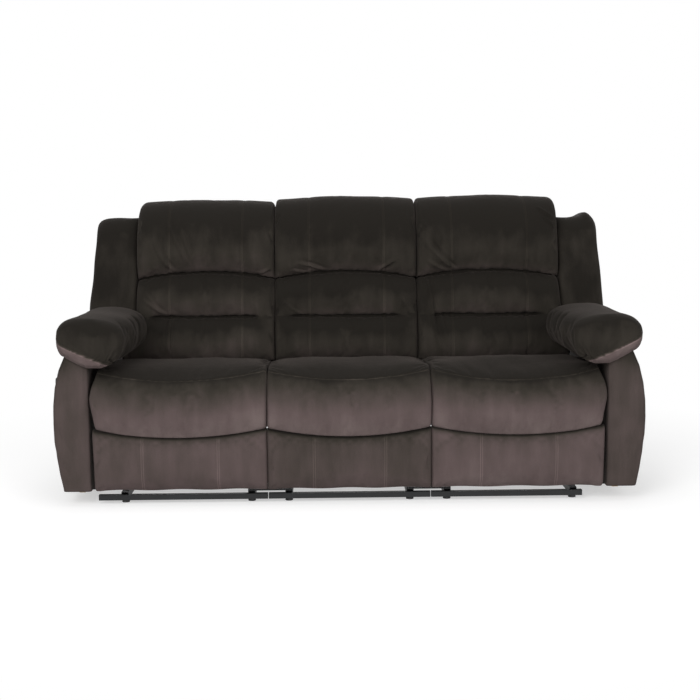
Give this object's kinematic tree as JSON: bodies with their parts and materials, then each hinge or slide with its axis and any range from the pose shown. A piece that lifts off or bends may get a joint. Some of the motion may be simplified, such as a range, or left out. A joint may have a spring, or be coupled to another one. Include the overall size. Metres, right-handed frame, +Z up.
{
  "type": "reclining sofa",
  "caption": "Three-seat reclining sofa in plush fabric: the end seats slide and lean back and lift their footrests, the middle seat is fixed, with pillow-top arms on a low steel base.",
  "frame": {"origin": "on the floor under the middle of the bounding box", "axes": "+X to the right for someone facing the sofa, +Y to the back of the sofa, +Z up; the sofa faces -Y"},
  "size_m": [2.085, 0.9359, 1.0571],
  "materials": {
    "velvet": "matte",
    "plywood": "matte",
    "black_steel": "satin",
    "spring_wire": "satin",
    "black_plastic": "matte"
  },
  "bodies": {
    "base": {"side_rails": "black_steel", "cross_tubes": "black_steel", "feet": "black_plastic", "gang_plates": "black_steel", "arm_brackets": "black_steel", "release_bezels": "black_plastic", "left_arm_panel": "plywood", "left_arm_cover": "velvet", "left_arm_pillow": "velvet", "right_arm_panel": "plywood", "right_arm_cover": "velvet", "right_arm_pillow": "velvet", "centre_stand": "black_steel", "centre_seat_frame": "plywood", "centre_seat_springs": "spring_wire", "centre_seat_cushion": "velvet", "centre_front_board": "plywood", "centre_front_pad": "velvet", "centre_back_frame": "plywood", "centre_back_cushion": "velvet", "centre_back_cover": "velvet"},
    "left_front_swing": {"left_front_swing_links": "velvet"},
    "left_rear_swing": {"left_rear_swing_links": "velvet"},
    "left_seat": {"left_seat_plates": "black_steel", "left_seat_frame": "plywood", "left_seat_springs": "spring_wire", "left_seat_cushion": "velvet"},
    "left_back": {"left_back_brackets": "black_steel", "left_back_frame": "plywood", "left_back_cushion": "velvet", "left_back_cover": "velvet", "left_back_wing": "velvet"},
    "left_link_a": {"left_link_a": "black_steel"},
    "left_link_b": {"left_link_b": "black_steel"},
    "left_link_c": {"left_link_c": "black_steel"},
    "left_link_d": {"left_link_d": "black_steel"},
    "left_footrest": {"left_footrest_brackets": "black_steel", "left_footrest_board": "plywood", "left_footrest_pad": "velvet"},
    "left_paddle": {"left_release_paddle": "black_plastic"},
    "right_front_swing": {"right_front_swing_links": "velvet"},
    "right_rear_swing": {"right_rear_swing_links": "velvet"},
    "right_seat": {"right_seat_plates": "black_steel", "right_seat_frame": "plywood", "right_seat_springs": "spring_wire", "right_seat_cushion": "velvet"},
    "right_back": {"right_back_brackets": "black_steel", "right_back_frame": "plywood", "right_back_cushion": "velvet", "right_back_cover": "velvet", "right_back_wing": "velvet"},
    "right_link_a": {"right_link_a": "black_steel"},
    "right_link_b": {"right_link_b": "black_steel"},
    "right_link_c": {"right_link_c": "black_steel"},
    "right_link_d": {"right_link_d": "black_steel"},
    "right_footrest": {"right_footrest_brackets": "black_steel", "right_footrest_board": "plywood", "right_footrest_pad": "velvet"},
    "right_paddle": {"right_release_paddle": "black_plastic"}
  },
  "joints": [
    {"name": "left_recline", "type": "hinge", "parent": "base", "child": "left_front_swing", "pos_m": [-0.571, -0.23, 0.055], "axis": [1, 0, 0], "range_deg": [0, 27]},
    {"name": "left_rear_swing", "type": "hinge", "parent": "base", "child": "left_rear_swing", "pos_m": [-0.571, 0.12, 0.055], "axis": [1, 0, 0], "range_deg": [0, 27]},
    {"name": "left_seat_level", "type": "hinge", "parent": "left_front_swing", "child": "left_seat", "pos_m": [-0.571, -0.19673, 0.2115], "axis": [1, 0, 0], "range_deg": [-27, 0]},
    {"name": "left_back_hinge", "type": "hinge", "parent": "left_seat", "child": "left_back", "pos_m": [-0.571, 0.205, 0.27], "axis": [-1, 0, 0], "range_deg": [0, 30]},
    {"name": "left_footrest", "type": "hinge", "parent": "left_seat", "child": "left_link_a", "pos_m": [-0.571, -0.3513, 0.2057], "axis": [-1, 0, 0], "range_deg": [0, 114.3]},
    {"name": "left_link_b", "type": "hinge", "parent": "left_link_a", "child": "left_link_b", "pos_m": [-0.571, -0.28215, 0.0633], "axis": [-1, 0, 0], "range_deg": [-120.2, 0]},
    {"name": "left_footrest_panel", "type": "hinge", "parent": "left_link_b", "child": "left_footrest", "pos_m": [-0.571, -0.39783, 0.23941], "axis": [-1, 0, 0], "range_deg": [0, 97.4]},
    {"name": "left_link_c", "type": "hinge", "parent": "left_seat", "child": "left_link_c", "pos_m": [-0.571, -0.3751, 0.2432], "axis": [-1, 0, 0], "range_deg": [0, 112.1]},
    {"name": "left_link_d", "type": "hinge", "parent": "left_link_c", "child": "left_link_d", "pos_m": [-0.571, -0.29012, 0.06503], "axis": [-1, 0, 0], "range_deg": [-121, 0]},
    {"name": "left_release", "type": "hinge", "parent": "base", "child": "left_paddle", "pos_m": [-1.0335, -0.286, 0.4], "axis": [0, 0, 1], "range_deg": [0, 35], "stiffness_Nm_per_rad": 0.6, "springref_deg": -2.86},
    {"name": "right_recline", "type": "hinge", "parent": "base", "child": "right_front_swing", "pos_m": [0.571, -0.23, 0.055], "axis": [1, 0, 0], "range_deg": [0, 27]},
    {"name": "right_rear_swing", "type": "hinge", "parent": "base", "child": "right_rear_swing", "pos_m": [0.571, 0.12, 0.055], "axis": [1, 0, 0], "range_deg": [0, 27]},
    {"name": "right_seat_level", "type": "hinge", "parent": "right_front_swing", "child": "right_seat", "pos_m": [0.571, -0.19673, 0.2115], "axis": [1, 0, 0], "range_deg": [-27, 0]},
    {"name": "right_back_hinge", "type": "hinge", "parent": "right_seat", "child": "right_back", "pos_m": [0.571, 0.205, 0.27], "axis": [-1, 0, 0], "range_deg": [0, 30]},
    {"name": "right_footrest", "type": "hinge", "parent": "right_seat", "child": "right_link_a", "pos_m": [0.571, -0.3513, 0.2057], "axis": [-1, 0, 0], "range_deg": [0, 114.3]},
    {"name": "right_link_b", "type": "hinge", "parent": "right_link_a", "child": "right_link_b", "pos_m": [0.571, -0.28215, 0.0633], "axis": [-1, 0, 0], "range_deg": [-120.2, 0]},
    {"name": "right_footrest_panel", "type": "hinge", "parent": "right_link_b", "child": "right_footrest", "pos_m": [0.571, -0.39783, 0.23941], "axis": [-1, 0, 0], "range_deg": [0, 97.4]},
    {"name": "right_link_c", "type": "hinge", "parent": "right_seat", "child": "right_link_c", "pos_m": [0.571, -0.3751, 0.2432], "axis": [-1, 0, 0], "range_deg": [0, 112.1]},
    {"name": "right_link_d", "type": "hinge", "parent": "right_link_c", "child": "right_link_d", "pos_m": [0.571, -0.29012, 0.06503], "axis": [-1, 0, 0], "range_deg": [-121, 0]},
    {"name": "right_release", "type": "hinge", "parent": "base", "child": "right_paddle", "pos_m": [1.0335, -0.286, 0.4], "axis": [0, 0, -1], "range_deg": [0, 35], "stiffness_Nm_per_rad": 0.6, "springref_deg": -2.86}
  ],
  "couplings": [
    {"joint": "left_rear_swing", "follows": "left_recline", "ratio": 1},
    {"joint": "left_seat_level", "follows": "left_recline", "ratio": -1},
    {"joint": "left_back_hinge", "follows": "left_recline", "ratio": 1.1111},
    {"joint": "left_link_b", "follows": "left_footrest", "ratio": -1.0516},
    {"joint": "left_footrest_panel", "follows": "left_footrest", "ratio": 0.8521},
    {"joint": "left_link_c", "follows": "left_footrest", "ratio": 0.98},
    {"joint": "left_link_d", "follows": "left_footrest", "ratio": -1.0586},
    {"joint": "right_rear_swing", "follows": "right_recline", "ratio": 1},
    {"joint": "right_seat_level", "follows": "right_recline", "ratio": -1},
    {"joint": "right_back_hinge", "follows": "right_recline", "ratio": 1.1111},
    {"joint": "right_link_b", "follows": "right_footrest", "ratio": -1.0516},
    {"joint": "right_footrest_panel", "follows": "right_footrest", "ratio": 0.8521},
    {"joint": "right_link_c", "follows": "right_footrest", "ratio": 0.98},
    {"joint": "right_link_d", "follows": "right_footrest", "ratio": -1.0586}
  ]
}
